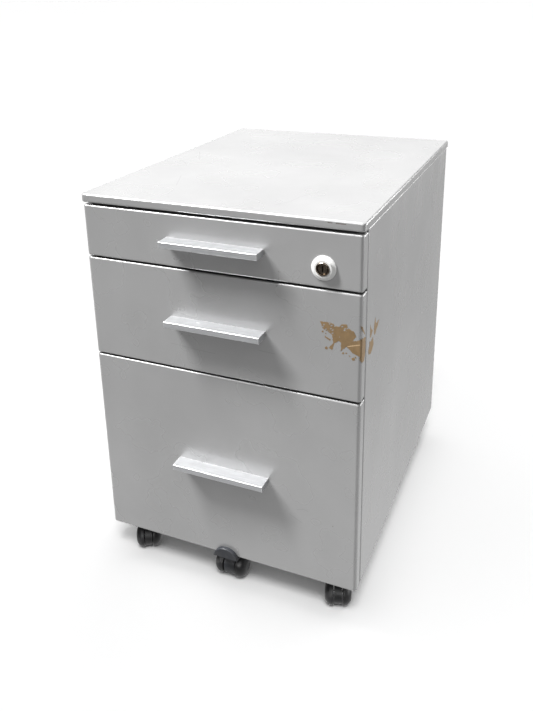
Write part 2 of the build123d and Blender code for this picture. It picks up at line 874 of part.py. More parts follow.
# Drawers
save(top_drawer_front(), "top_drawer_front")
save(drawer_front(middle_bottom, middle_front_height), "middle_drawer_front")
save(drawer_front(file_bottom, file_front_height), "file_drawer_front")
save(drawer_box(top_box_bottom, top_box_height), "top_drawer_box")
save(drawer_box(middle_box_bottom, middle_box_height, middle_ear_top), "middle_drawer_box")
save(drawer_box(file_box_bottom, file_box_height, file_ear_top), "file_drawer_box")
for drawer, (bottom, front_height, _, _) in drawers.items():
    save(handle(bottom, front_height), f"{drawer}_drawer_handle")
    save(handle_screws(bottom, front_height), f"{drawer}_handle_screws")
save(both_sides(hanging_rail()), "file_hanging_rails")

# Runners of the top and middle drawers
short_runners = {
    "top": (top_runner_z, top_runner_height),
    "middle": (middle_runner_z, middle_runner_height),
}
for drawer, (mid_z, rail_height) in short_runners.items():
    race_mid = (rail_height - 2 * rail_sheet - race) / 2
    save(both_sides(outer_rail(mid_z, rail_height)), f"{drawer}_outer_rails")
    save(both_sides(ball_cage(mid_z, race_mid, cage_web, short_travel)), f"{drawer}_ball_cages")
    save(both_sides(inner_rail(mid_z, rail_height - step_in, second_start)), f"{drawer}_inner_rails")

# Runners of the file drawer
middle_height = file_runner_height - step_in
outer_race_mid = (file_runner_height - 2 * rail_sheet - race) / 2
inner_race_mid = (middle_height - 2 * rail_sheet - race) / 2
file_middle_rail = channel(
    file_runner_z, middle_height, second_start, middle_rail_reach, rail_sheet, rail_start, rail_length
)
outer_cage = ball_cage(file_runner_z, outer_race_mid, cage_web, long_travel / 2)
inner_cage = ball_cage(file_runner_z, inner_race_mid, second_cage_web, long_travel / 2)
save(both_sides(outer_rail(file_runner_z, file_runner_height)), "file_outer_rails")
save(both_sides(outer_cage), "file_outer_cages")
save(both_sides(file_middle_rail), "file_middle_rails")
save(both_sides(inner_cage), "file_inner_cages")
save(both_sides(inner_rail(file_runner_z, middle_height - step_in, third_start)), "file_inner_rails")

# Lock
save(lock_escutcheon(), "lock_escutcheon")
save(lock_housing(), "lock_housing")
save(lock_plug(), "lock_plug")
save(lock_cam(), "lock_cam")
save(lock_bar(), "lock_bar")

# Casters
fork = caster_body()
pin = axle(-caster_trail, wheel_radius, wheel_start + wheel_width)
for corner in caster_places:
    save(at_caster(fork, corner), f"{corner}_caster_body")
    save(at_caster(pin, corner), f"{corner}_caster_axle")
    for side_name, side in (("left", -1), ("right", 1)):
        roller = wheel(-caster_trail, wheel_radius, side, wheel_start, wheel_width)
        save(at_caster(roller, corner), f"{corner}_{side_name}_wheel")
save(fifth_bracket(), "fifth_caster_bracket")
save(axle(fifth_y, fifth_z, fifth_wheel_start + fifth_wheel_width), "fifth_caster_axle")
for side_name, side in (("left", -1), ("right", 1)):
    roller = wheel(fifth_y, fifth_z, side, fifth_wheel_start, fifth_wheel_width)
    save(roller, f"fifth_{side_name}_wheel")
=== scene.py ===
import json
import math

import bmesh
import bpy
from mathutils import Matrix, Vector, noise

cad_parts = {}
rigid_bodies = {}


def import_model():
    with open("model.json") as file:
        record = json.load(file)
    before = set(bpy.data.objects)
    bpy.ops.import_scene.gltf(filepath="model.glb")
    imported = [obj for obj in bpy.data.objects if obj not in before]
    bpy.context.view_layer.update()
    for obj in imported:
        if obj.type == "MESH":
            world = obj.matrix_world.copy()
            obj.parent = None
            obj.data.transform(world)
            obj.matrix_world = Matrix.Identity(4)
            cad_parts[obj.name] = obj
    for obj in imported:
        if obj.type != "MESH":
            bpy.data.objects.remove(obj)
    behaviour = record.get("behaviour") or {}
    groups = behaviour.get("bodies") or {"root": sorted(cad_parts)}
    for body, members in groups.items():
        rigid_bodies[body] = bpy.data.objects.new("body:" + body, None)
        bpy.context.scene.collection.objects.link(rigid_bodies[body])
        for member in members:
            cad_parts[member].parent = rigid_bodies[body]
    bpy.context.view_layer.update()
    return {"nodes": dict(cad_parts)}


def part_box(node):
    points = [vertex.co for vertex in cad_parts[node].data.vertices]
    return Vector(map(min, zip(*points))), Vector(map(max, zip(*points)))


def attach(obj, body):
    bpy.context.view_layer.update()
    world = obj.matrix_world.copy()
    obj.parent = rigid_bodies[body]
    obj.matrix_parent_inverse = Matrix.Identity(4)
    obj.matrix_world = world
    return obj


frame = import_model()
nodes = frame["nodes"]
millimetre = 0.001

# Places read from the frame, in metres
front_low, front_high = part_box("file_drawer_front")
cover_low, cover_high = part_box("top_cover")
side_low, side_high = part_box("right_side_panel")
handle_low, handle_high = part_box("middle_drawer_handle")
face_y = front_low.y
right_x = front_high.x
middle_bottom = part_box("middle_drawer_front")[0].z

# Sizes that the boxes of the frame don't tell, in metres
front_bend = 0.0025
lock_nose_radius = 0.0090
lock_plug_radius = 0.0074

# The photograph's frame and the camera fitted to it
image_height = 711
focal_pixels = 747.0
optical_row = 240.0
camera_right = 0.426
camera_front = 0.806
camera_height = 0.851
camera_azimuth = math.radians(23.56)
camera_elevation = math.radians(18.63)
camera_roll = math.radians(-1.11)
sensor_height = 36.0

# Brightness of the room around the object, and the heights on the unit sphere where it changes
ground_level = 0.31
near_ground_level = 0.38
wall_level = 0.05
ceiling_level = 1.85
zenith_share = 0.08
horizon_band = (-0.05, 0.05)
near_ground_band = (-0.20, -0.75)
ceiling_band = (0.45, 0.90)
zenith_band = (0.85, 0.97)

# Lamps: place, width, height and power, each aimed at the middle of the front
lamps = {
    "key_lamp": ((-2.90, -1.62, 5.20), 0.50, 2.50, 1060.0),
    "right_lamp": ((1.90, 1.80, 0.90), 1.20, 1.20, 60.0),
    "back_lamp": ((-1.20, 3.20, 1.75), 3.00, 1.90, 14.5),
    "low_lamp": ((2.40, 0.20, 0.35), 1.20, 0.60, 16.0),
    "front_lamp": ((0.50, -3.20, 1.40), 3.00, 1.00, 40.0),
}
lamp_aim_height = 0.35
gloss_lamp = "front_lamp"
floor_sun_power = 1.32
floor_sun_spread = math.radians(20.0)
floor_sun_way = Vector((-0.45, 1.00, -2.40))
floor_half = 60.0

# Colours of the finishes
paint_level = 0.42
inner_level = 0.24
handle_tint = (0.500, 0.507, 0.518)
# Painted shade: the near-black colour laid on rims in the gaps between the fronts and the carcass
painted_gap_shade_level = 0.04
chip_brown = (0.085, 0.055, 0.036, 1.0)
nick_brown = (0.05, 0.045, 0.04, 1.0)
zinc_blue = (0.50, 0.51, 0.53, 1.0)
zinc_grey = (0.60, 0.60, 0.60, 1.0)
ring_white = (0.70, 0.70, 0.69, 1.0)
ring_stain = (0.55, 0.54, 0.51, 1.0)
bronze_tint = (1.0, 0.80, 0.64)
bronze_worn_tint = (2.2, 1.8, 1.4)
# Painted highlight: the light colour laid on the top of the lock's nose
painted_highlight_bronze = (0.80, 0.77, 0.73, 1.0)
housing_level = 0.13
plug_level = 0.07
worn_edge_level = 0.85
dab_level = 0.9
fleck_level = 0.25
floor_levels = (0.94, 0.96)
caster_black = (0.008, 0.008, 0.009, 1.0)
shield_black = (0.020, 0.022, 0.027, 1.0)
dust_grey = (0.10, 0.098, 0.095, 1.0)
film_tan = (0.178, 0.114, 0.051)
# Painted highlight: the pale colour along the crease of the film's fold
film_fold_highlight = (0.46, 0.32, 0.18, 1.0)

# Distances from a panel's faces where the painted shade on its rim in the gaps grows dark or its edge
# grows
# worn, in metres: where the change starts and where it ends
shade_behind_band = (0.0014, 0.0004)
shade_above_band = (0.0020, 0.0008)
shade_beside_band = (0.0010, 0.0024)
shade_ahead_band = (0.0010, 0.0004)
paint_edge_band = (0.0022, 0.0004)
handle_edge_band = (0.0012, 0.0002)

# The painted highlight at the top of the lock's nose, in shares of its radius: out from the middle, in
# from the rim, and up
highlight_inner_band = (0.80, 0.86)
highlight_outer_band = (0.99, 0.94)
highlight_height_band = (0.45, 0.75)

# How far each kind of mark reaches from its middle line, in metres, and the share of it that isn't
# faded
scratch_reach = 0.0005
chip_reach = 0.0007
dab_reach = 0.0011
fold_reach = 0.0009
hole_reach = 0.0011
stroke_core = 0.4

# Place of the chips on the fronts' right bend, across in millimetres
corner_x = (right_x - front_bend / 3) / millimetre

# Scratches and chips in millimetres, each from one point to another: across and up on the fronts,
# across and back on the cover's top, across and down from the top on the cover's front edge,
# across and back from the lip on the handle
cover_scratches = [
    ((72, -214), (84, -194)), ((84, -194), (88, -169)), ((88, -169), (111, -117)),
    ((-180, -14), (-155, -39)), ((-155, -39), (-143, -57)), ((-176, 47), (-147, -8)),
    ((-122, -112), (-99, -167)), ((-63, 20), (-62, 18)), ((-22, 153), (-21, 150)),
]
cover_chips = [((155, 4), (160, 4)), ((165, 4), (177, 4)), ((-175, 12), (-172, 12))]
top_scratches = [((-173, 559.0), (-166, 556.8))]
top_chips = [((90.1, 514.6), (90.3, 514.8))]
middle_scratches = [
    ((-94, 495.5), (-88, 491.5)), ((-86, 495.4), (-73, 489.2)), ((-73, 386.4), (-33, 383.8)),
    ((-33, 383.8), (-5, 382.9)), ((59, 400.0), (84, 398.7)),
]
middle_chips = [((corner_x, 466), (corner_x, 469)), ((corner_x, 478), (corner_x, 479))]
file_scratches = [((113, 163.5), (123, 167.0)), ((123, 167.0), (129, 165.0)), ((101, 153.0), (120, 143.5))]
file_chips = [
    ((corner_x, 96), (corner_x, 99)), ((corner_x, 103), (corner_x, 113)), ((corner_x, 75), (corner_x, 77)),
    ((165.1, 151.3), (165.3, 151.6)),
]
handle_dabs = [((-26, 14.0), (-23, 14.5))]

# Folds of the torn film, with a painted highlight along them, and its holes in millimetres: across and up
# on the middle front
film_folds = [((182.1, 427.4), (188.6, 429.6)), ((188.6, 429.6), (197.0, 432.0))]
film_hole_places = [
    (150.5, 452.0), (148.8, 448.9), (157.9, 454.6), (153.2, 446.2), (160.5, 452.3), (159.3, 447.9),
    (161.9, 446.3), (161.7, 442.0), (155.3, 443.7), (174.4, 453.2), (177.8, 451.0), (177.4, 448.9),
    (181.0, 452.0), (165.2, 452.4),
]
film_holes = [((x - 0.5, z - 0.4), (x + 0.5, z + 0.5)) for x, z in film_hole_places]

# How far the film stands out of the paint and reaches into it, in metres
film_thickness = 0.00012
film_sink = 0.00004

# Length of the steps along a torn edge in millimetres, and the coarse and the fine noise that push
# them aside: waves in a millimetre, and the push in millimetres. The seed makes each run the same
tear_step = 0.9
tear_noises = [(0.45, 0.7), (1.1, 0.5)]
tear_seed = 1

# Flat parts that the film has around the bend
bend_parts = 4

# Outlines of the torn film in millimetres: along the unrolled front from the start of its right
# bend, and up from the bottom of the middle front
film_outlines = [
    [
        (-52, 106), (-45, 106), (-37, 106), (-34, 104), (-30, 102), (-26, 103), (-24, 106), (-18, 107),
        (-15, 102), (-8, 99), (-5, 93), (-10, 85), (3, 90), (15, 88), (18, 84), (17, 66), (15, 59),
        (11, 56), (4, 57), (0, 61), (0, 66), (-9, 69), (-17, 77), (-25, 69), (-24, 80), (-27, 83),
        (-33, 79), (-36, 69), (-41, 71), (-35, 78), (-36, 90), (-49, 97),
    ],
    [(0, 108), (3, 106), (14, 92), (12, 92), (3, 101)],
    [(-46, 87), (-38, 83), (-39, 81), (-46, 85)],
]

# Small flecks of film around the large piece: place along, place up and radius
film_flecks = [
    (-43.4, 70.4, 2.0), (-8.0, 61.1, 2.3), (-21.8, 67.1, 1.3), (-17.4, 67.6, 1.0), (-48.6, 92.3, 1.0),
    (-5.2, 64.1, 1.2), (-44.5, 90.2, 0.8), (-13.0, 64.6, 0.8),
]
fleck_sides = 7

# Outlines of the film's streaks on the right side panel: back from its front edge, and up from
# the bottom of the middle front
streak_outlines = [
    [(17, 94), (22, 86), (29, 81), (20, 74), (16, 78)],
    [(40, 95), (43, 87), (48, 82), (53, 84), (60, 83), (54, 77), (46, 74), (42, 69), (37, 71), (35, 81)],
    [(31, 71), (35, 59), (29, 54), (20, 51), (11, 55), (10, 61), (15, 65), (14, 72), (22, 68)],
]


class Nodes:
    """Short calls for the few kinds of node that the room and the finishes use."""

    def __init__(self, tree, coordinates):
        self.tree = tree
        self.place = self.node("ShaderNodeTexCoord").outputs[coordinates]

    def node(self, kind, inputs=None, **settings):
        made = self.tree.nodes.new(kind)
        for name, value in settings.items():
            setattr(made, name, value)
        for name, value in (inputs or {}).items():
            self.feed(made.inputs[name], value)
        return made

    def feed(self, socket, value):
        if isinstance(value, bpy.types.NodeSocket):
            self.tree.links.new(value, socket)
        else:
            socket.default_value = value

    def axes(self):
        parts = self.node("ShaderNodeSeparateXYZ", {"Vector": self.place})
        return parts.outputs["X"], parts.outputs["Y"], parts.outputs["Z"]

    def math(self, operation, first, second=0.0, clamp=False):
        made = self.node("ShaderNodeMath", {0: first, 1: second}, operation=operation, use_clamp=clamp)
        return made.outputs["Value"]

    def vector(self, operation, first, second):
        made = self.node("ShaderNodeVectorMath", {0: first, 1: second}, operation=operation)
        return made.outputs["Value" if operation in ("DOT_PRODUCT", "DISTANCE") else "Vector"]

    def scaled(self, vector, factor):
        made = self.node("ShaderNodeVectorMath", {0: vector, "Scale": factor}, operation="SCALE")
        return made.outputs["Vector"]

    def ramp(self, value, start, end, low=0.0, high=1.0):
        """Low before start, high after end and smooth between them."""
        made = self.node(
            "ShaderNodeMapRange",
            {"Value": value, "From Min": start, "From Max": end, "To Min": low, "To Max": high},
            interpolation_type="SMOOTHSTEP",
        )
        return made.outputs["Result"]


class Shader(Nodes):
    """A node material on the principled surface."""

    def __init__(self, name):
        self.material = bpy.data.materials.new(name)
        self.material.use_nodes = True
        super().__init__(self.material.node_tree, "Object")
        self.surface = self.tree.nodes["Principled BSDF"]

    def set(self, **values):
        """Feeds the surface's sockets, named in words joined by underscores."""
        for name, value in values.items():
            self.feed(self.surface.inputs[name.replace("_", " ").title()], value)

    def noise(self, scale, detail=2.0, roughness=0.5, output="Fac"):
        """A noise of one scale, or of a scale for each axis."""
        place = self.place
        if isinstance(scale, tuple):
            place = self.node("ShaderNodeMapping", {"Vector": place, "Scale": scale}).outputs["Vector"]
            scale = 1.0
        made = self.node("ShaderNodeTexNoise", {
            "Vector": place, "Scale": scale, "Detail": detail, "Roughness": roughness,
        })
        return made.outputs[output]

    def patches(self, scale, start, end, low=0.0, high=1.0, detail=2.0, roughness=0.5):
        """A noise cut to smooth patches, low where it is under start and high where it is over end."""
        return self.ramp(self.noise(scale, detail, roughness), start, end, low, high)

    def mix(self, factor, first, second):
        made = self.node("ShaderNodeMix", data_type="RGBA")
        self.feed(made.inputs["Factor"], factor)
        self.feed(made.inputs["A"], first)
        self.feed(made.inputs["B"], second)
        return made.outputs["Result"]

    def touched(self, colour, share, strength, other):
        """The colour with a share of another laid over it, as strong as given."""
        return self.mix(self.math("MULTIPLY", share, strength), colour, other)

    def bump(self, height, distance, strength=1.0, under=None):
        made = self.node("ShaderNodeBump", {"Height": height, "Distance": distance, "Strength": strength})
        if under is not None:
            self.feed(made.inputs["Normal"], under)
        return made.outputs["Normal"]

    def ragged_place(self, scale, amount):
        """The point's place, shaken by a fine noise, so that marks have torn edges."""
        shake = self.noise(scale, detail=3.0, output="Color")
        shake = self.vector("SUBTRACT", shake, (0.5, 0.5, 0.5))
        return self.vector("ADD", self.place, self.scaled(shake, amount))

    def strokes(self, marks, reach, ragged):
        """One inside any of the thin capsules between pairs of points, fading out at their rims."""
        total = None
        for start, end in marks:
            run = Vector(end) - Vector(start)
            offset = self.vector("SUBTRACT", ragged, start)
            share = self.vector("DOT_PRODUCT", offset, run)
            share = self.math("DIVIDE", share, run.length_squared, clamp=True)
            gap = self.vector("DISTANCE", offset, self.scaled(run, share))
            inside = self.ramp(gap, reach, reach * stroke_core)
            total = inside if total is None else self.math("MAXIMUM", total, inside)
        return total


def grey(level):
    return (level, level, level, 1.0)


def tinted(colour, level):
    return (*(channel * level for channel in colour), 1.0)


def place_camera():
    """Sets the camera where the photograph was taken from."""
    azimuth, elevation, roll = camera_azimuth, camera_elevation, camera_roll
    right = Vector((math.cos(azimuth), math.sin(azimuth), 0.0))
    back = Vector((
        math.sin(azimuth) * math.cos(elevation),
        -math.cos(azimuth) * math.cos(elevation),
        math.sin(elevation),
    ))
    up = back.cross(right)
    across = right * math.cos(roll) + up * math.sin(roll)
    upward = up * math.cos(roll) - right * math.sin(roll)
    data = bpy.data.cameras.new("camera")
    data.sensor_fit = "VERTICAL"
    data.sensor_height = sensor_height
    data.lens = focal_pixels / image_height * sensor_height
    data.shift_y = (optical_row - image_height / 2) / image_height
    camera = bpy.data.objects.new("camera", data)
    turn = Matrix((across, upward, back)).transposed().to_4x4()
    eye = Vector((camera_right, face_y - camera_front, camera_height))
    camera.matrix_world = Matrix.Translation(eye) @ turn
    bpy.context.scene.collection.objects.link(camera)
    bpy.context.scene.camera = camera


def area_light(name, aim, place, width, height, power):
    """A soft lamp that isn't seen itself, turned towards a point."""
    data = bpy.data.lights.new(name, "AREA")
    data.shape = "RECTANGLE"
    data.size = width
    data.size_y = height
    data.energy = power
    lamp = bpy.data.objects.new(name, data)
    lamp.location = place
    lamp.rotation_euler = (aim - Vector(place)).to_track_quat("-Z", "Y").to_euler()
    lamp.visible_camera = False
    bpy.context.scene.collection.objects.link(lamp)


def sun_light(name, way, spread, power):
    """An even light from far away, with soft shadows."""
    data = bpy.data.lights.new(name, "SUN")
    data.energy = power
    data.angle = spread
    lamp = bpy.data.objects.new(name, data)
    lamp.rotation_euler = way.to_track_quat("-Z", "Y").to_euler()
    bpy.context.scene.collection.objects.link(lamp)


def light_studio():
    """A dim room with a bright ceiling around its zenith, seen itself as plain white, and soft lamps."""
    scene = bpy.context.scene
    scene.view_settings.view_transform = "Standard"
    world = bpy.data.worlds.new("studio")
    scene.world = world
    world.use_nodes = True
    room = Nodes(world.node_tree, "Generated")
    height = room.axes()[2]
    level = room.ramp(height, *horizon_band, ground_level, wall_level)
    level = room.math("ADD", level, room.ramp(height, *near_ground_band, 0.0, near_ground_level))
    level = room.math("ADD", level, room.ramp(height, *ceiling_band, 0.0, ceiling_level))
    level = room.math("MULTIPLY", level, room.ramp(height, *zenith_band, 1.0, zenith_share))
    seen = room.node("ShaderNodeLightPath").outputs["Is Camera Ray"]
    background = world.node_tree.nodes["Background"].inputs
    room.feed(background["Color"], grey(1.0))
    room.feed(background["Strength"], room.math("MAXIMUM", level, seen))
    aim = Vector((0.0, face_y, lamp_aim_height))
    for name, lamp in lamps.items():
        area_light(name, aim, *lamp)
    bpy.data.objects[gloss_lamp].visible_diffuse = False
    sun_light("floor_sun", floor_sun_way, floor_sun_spread, floor_sun_power)


def lay_floor():
    """A wide pale floor, left out of the reflections so that the object mirrors the dimmer room."""
    s = Shader("pale_floor")
    colour = s.mix(s.noise(1.5, detail=3.0), *(grey(level) for level in floor_levels))
    s.set(base_color=colour, roughness=0.8)
    mesh = bpy.data.meshes.new("floor")
    corners = [(-1, -1), (1, -1), (1, 1), (-1, 1)]
    mesh.from_pydata([(x * floor_half, y * floor_half, 0.0) for x, y in corners], [], [(0, 1, 2, 3)])
    mesh.materials.append(s.material)
    floor = bpy.data.objects.new("floor", mesh)
    floor.visible_glossy = False
    floor.visible_diffuse = False
    bpy.context.scene.collection.objects.link(floor)


def on_front(x, z):
    """A point of the drawer fronts' face, from millimetres across and above the floor."""
    return (x * millimetre, face_y, z * millimetre)


def on_top(x, y):
    """A point of the cover's top, from millimetres across and back."""
    return (x * millimetre, y * millimetre, cover_high.z)


def on_cover_edge(x, down):
    """A point of the cover's front edge, from millimetres across and down from the top."""
    return (x * millimetre, cover_low.y, cover_high.z - down * millimetre)


def on_handle(x, back):
    """A point of the middle handle's top, from millimetres across and back from the lip."""
    return (x * millimetre, handle_low.y + back * millimetre, handle_high.z)


def placed(marks, where):
    """The marks with both ends at their places on the object."""
    return [[where(*point) for point in mark] for mark in marks]


def edge_distance(s, low, high):
    """How far a point on a box-shaped panel is from the panel's nearest edge."""
    gaps = []
    for value, start, end in zip(s.axes(), low, high):
        near = s.math("SUBTRACT", value, start)
        far = s.math("SUBTRACT", end, value)
        gaps.append(s.math("MINIMUM", near, far))
    first, second, third = gaps
    lesser = s.math("MINIMUM", first, second)
    greater = s.math("MAXIMUM", first, second)
    return s.math("MAXIMUM", lesser, s.math("MINIMUM", greater, third))


def painted_shade_behind(s, low, high):
    """Painted shade on the rim behind a drawer front, in the gap to the carcass."""
    start, end = shade_behind_band
    return s.ramp(s.axes()[1], high.y - start, high.y - end)


def painted_shade_around(s, low, high):
    """Painted shade on the rim behind a lower front and on its top bend, in the shade of the front above.
    """
    start, end = shade_above_band
    above = s.ramp(s.axes()[2], high.z - start, high.z - end, high=0.6)
    return s.math("MAXIMUM", painted_shade_behind(s, low, high), above)


def painted_shade_beside(s, low, high):
    """Painted shade on a side panel's front edge, in the gap to the drawer fronts."""
    across, depth = s.axes()[:2]
    start, end = shade_beside_band
    inward = s.ramp(s.math("ABSOLUTE", across), right_x - start, right_x - end)
    start, end = shade_ahead_band
    return s.math("MULTIPLY", inward, s.ramp(depth, low.y + start, low.y + end))


def silver_paint(node, scratches, chips, painted_gap_shade):
    """Silver-grey metallic paint: faint clouds and wiping marks, fine flakes, scratches and chips, and
    painted shade on rims in the gaps.
    """
    low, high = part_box(node)
    s = Shader(f"{node}_paint")
    cloud = s.patches(4.0, start=0.3, end=0.7, detail=4.0, roughness=0.6)
    colour = s.mix(cloud, grey(paint_level * 0.945), grey(paint_level * 1.055))
    wiped = s.patches((18.0, 18.0, 1.5), start=0.3, end=0.7)
    colour = s.touched(colour, wiped, strength=0.07, other=grey(paint_level * 0.7))
    flake = s.patches(2200.0, start=0.35, end=0.65, detail=1.0)
    colour = s.touched(colour, flake, strength=0.03, other=grey(paint_level * 1.4))
    if painted_gap_shade:
        # Painted shade: the rims in the gaps are darkened to near black
        colour = s.mix(painted_gap_shade(s, low, high), colour, grey(painted_gap_shade_level))
    if scratches:
        line = s.strokes(scratches, scratch_reach, s.ragged_place(300.0, amount=0.0006))
        colour = s.touched(colour, line, strength=0.35, other=grey(paint_level * 0.45))
    edge = s.ramp(edge_distance(s, low, high), *paint_edge_band)
    chip = s.patches(170.0, start=0.70, end=0.72, detail=4.0, roughness=0.6)
    chip = s.math("MULTIPLY", chip, s.ramp(edge, start=0.3, end=0.5))
    if chips:
        mark = s.strokes(chips, chip_reach, s.ragged_place(700.0, amount=0.0008))
        chip = s.math("MAXIMUM", chip, mark)
    colour = s.touched(colour, chip, strength=0.9, other=chip_brown)
    rough = s.patches(18.0, start=0.1, end=0.9, low=0.255, high=0.285)
    rough = s.math("ADD", rough, s.math("MULTIPLY", edge, 0.10))
    peel = s.bump(s.noise(620.0), distance=0.00002, strength=0.2)
    pit = s.bump(s.math("SUBTRACT", 1.0, chip), distance=0.00015, strength=0.6, under=peel)
    s.set(base_color=colour, metallic=0.5, roughness=rough, normal=pit)
    return s.material


def inner_paint(name):
    """Satin grey paint of the drawer boxes and inner carcass."""
    s = Shader(name)
    cloud = s.patches(9.0, start=0.3, end=0.7, detail=4.0, roughness=0.6)
    colour = s.mix(cloud, grey(inner_level * 0.94), grey(inner_level * 1.06))
    flake = s.patches(1500.0, start=0.4, end=0.6, detail=1.0)
    colour = s.touched(colour, flake, strength=0.10, other=grey(inner_level * 1.4))
    rough = s.patches(25.0, start=0.3, end=0.7, low=0.42, high=0.52, detail=3.0)
    peel = s.bump(s.noise(700.0), distance=0.00008, strength=0.5)
    s.set(base_color=colour, metallic=0.15, roughness=rough, normal=peel)
    return s.material


def zinc_steel(name):
    """Zinc-plated steel with a faint spangle and drawn lines along the rails."""
    s = Shader(name)
    spangle = s.node("ShaderNodeTexVoronoi", {"Vector": s.place, "Scale": 240.0})
    colour = s.mix(spangle.outputs["Color"], zinc_blue, zinc_grey)
    lines = s.noise((900.0, 14.0, 900.0), detail=3.0, roughness=0.6)
    rough = s.ramp(lines, start=0.3, end=0.7, low=0.26, high=0.42)
    drawn = s.bump(lines, distance=0.00003, strength=0.5)
    s.set(base_color=colour, metallic=0.95, roughness=rough, normal=drawn)
    return s.material


def brushed_handle(node, dabs):
    """Satin aluminium, brushed along the handle and worn along its edges."""
    low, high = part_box(node)
    s = Shader(f"{node}_metal")
    brush = s.noise((18.0, 1300.0, 1300.0), detail=4.0, roughness=0.65)
    colour = s.mix(s.ramp(brush, start=0.3, end=0.7), tinted(handle_tint, 0.86), tinted(handle_tint, 1.12))
    blotch = s.patches(60.0, start=0.45, end=0.7, detail=5.0, roughness=0.65)
    colour = s.touched(colour, blotch, strength=0.22, other=tinted(handle_tint, 0.7))
    edge = s.ramp(edge_distance(s, low, high), *handle_edge_band)
    bright = s.math("MULTIPLY", edge, s.patches(180.0, start=0.40, end=0.55, detail=4.0))
    colour = s.touched(colour, bright, strength=0.6, other=grey(worn_edge_level))
    nick = s.math("MULTIPLY", edge, s.patches(260.0, start=0.67, end=0.69, detail=4.0))
    colour = s.mix(nick, colour, nick_brown)
    if dabs:
        dab = s.strokes(dabs, dab_reach, s.ragged_place(500.0, amount=0.001))
        colour = s.mix(dab, colour, grey(dab_level))
    rough = s.ramp(brush, start=0.3, end=0.7, low=0.30, high=0.44)
    grain = s.bump(brush, distance=0.00003, strength=0.6)
    s.set(base_color=colour, metallic=0.7, roughness=rough, normal=grain)
    return s.material


def white_plastic(name):
    """Glossy white ring, a little yellowed and soiled."""
    s = Shader(name)
    stain = s.patches(70.0, start=0.45, end=0.75, detail=5.0, roughness=0.65)
    colour = s.touched(ring_white, stain, strength=0.30, other=ring_stain)
    rough = s.patches(140.0, start=0.3, end=0.7, low=0.22, high=0.34, detail=3.0)
    ripple = s.bump(s.noise(400.0), distance=0.00004, strength=0.4)
    s.set(base_color=colour, roughness=rough, normal=ripple)
    return s.material


def dark_bronze(name, level, outer, bevel, painted_highlight_strength):
    """Dark bronze of a round lock part, worn in spots, with a bevelled rim and a painted highlight at its
    top.
    """
    s = Shader(name)
    low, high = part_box(name)
    centre = ((low.x + high.x) / 2, 0.0, (low.z + high.z) / 2)
    across = s.vector("MULTIPLY", s.place, (1.0, 0.0, 1.0))
    radius = s.vector("DISTANCE", across, centre)
    dome = s.bump(s.ramp(radius, outer, outer - bevel), distance=0.0018)
    worn = s.patches(320.0, start=0.35, end=0.75, detail=5.0, roughness=0.65)
    colour = s.mix(worn, tinted(bronze_tint, level), tinted(bronze_worn_tint, level))
    height = s.math("DIVIDE", s.math("SUBTRACT", s.axes()[2], centre[2]), outer)
    reach = s.math("DIVIDE", radius, outer)
    # Painted highlight: a lighter crescent at the top of the nose
    band = s.math("MULTIPLY", s.ramp(reach, *highlight_inner_band), s.ramp(reach, *highlight_outer_band))
    painted_highlight = s.math("MULTIPLY", band, s.ramp(height, *highlight_height_band))
    colour = s.touched(colour, painted_highlight, strength=painted_highlight_strength, other=painted_highlight_bronze)
    rough = s.patches(500.0, start=0.3, end=0.7, low=0.24, high=0.38, detail=3.0)
    s.set(base_color=colour, metallic=1.0, roughness=rough, normal=dome)
    return s.material


def black_plastic(name, base, dusty, rough_low):
    """Moulded black plastic with a fine grain, a film of dust and pale flecks."""
    s = Shader(name)
    film = s.patches(90.0, start=0.42, end=0.75, detail=5.0, roughness=0.65)
    colour = s.touched(base, film, strength=dusty, other=dust_grey)
    fleck = s.patches(620.0, start=0.72, end=0.75)
    colour = s.touched(colour, fleck, strength=0.5, other=grey(fleck_level))
    rough = s.patches(60.0, start=0.3, end=0.7, low=rough_low, high=rough_low + 0.16, detail=4.0)
    grain = s.bump(s.noise(1400.0), distance=0.00006, strength=0.5)
    s.set(base_color=colour, roughness=rough, normal=grain)
    return s.material


def torn_film(name):
    """Dried brown adhesive film: mottled, with a painted highlight along the crease of a fold, and with
    holes in the colour of the paint.
    """
    s = Shader(name)
    mottle = s.patches(120.0, start=0.3, end=0.7, detail=5.0, roughness=0.65)
    colour = s.mix(mottle, tinted(film_tan, 1.0), tinted(film_tan, 1.25))
    ragged = s.ragged_place(500.0, amount=0.0016)
    fold_highlight = s.strokes(placed(film_folds, on_front), fold_reach, ragged)
    # Painted highlight: a pale line along the crease of the fold
    colour = s.mix(fold_highlight, colour, film_fold_highlight)
    hole = s.strokes(placed(film_holes, on_front), hole_reach, ragged)
    hole = s.math("MAXIMUM", hole, s.patches(260.0, start=0.70, end=0.73))
    colour = s.mix(hole, colour, grey(paint_level * 0.6))
    rough = s.patches(200.0, start=0.3, end=0.7, low=0.45, high=0.65, detail=3.0)
    wrinkle = s.bump(s.noise(300.0, detail=4.0), distance=0.00008, strength=0.7)
    s.set(base_color=colour, roughness=rough, normal=wrinkle)
    return s.material


def fleck_outline(along, up, radius):
    """A small round outline, which is torn as the others are."""
    turns = [2 * math.pi * side / fleck_sides for side in range(fleck_sides)]
    return [(along + radius * math.cos(turn), up + radius * math.sin(turn)) for turn in turns]


def wrapped_front(along, lift):
    """Across and depth of a point on the unrolled middle front, lifted off its surface."""
    arc = front_bend * math.pi / 2
    bend_x = right_x - front_bend
    bend_y = face_y + front_bend
    if along <= 0:
        return bend_x + along, face_y - lift
    if along < arc:
        turn = along / front_bend
        radius = front_bend + lift
        return bend_x + radius * math.sin(turn), bend_y - radius * math.cos(turn)
    return right_x + lift, bend_y + along - arc


def wrapped_side(along, lift):
    """Across and depth of a point on the right side panel, lifted off its surface."""
    return side_high.x + lift, side_low.y + along


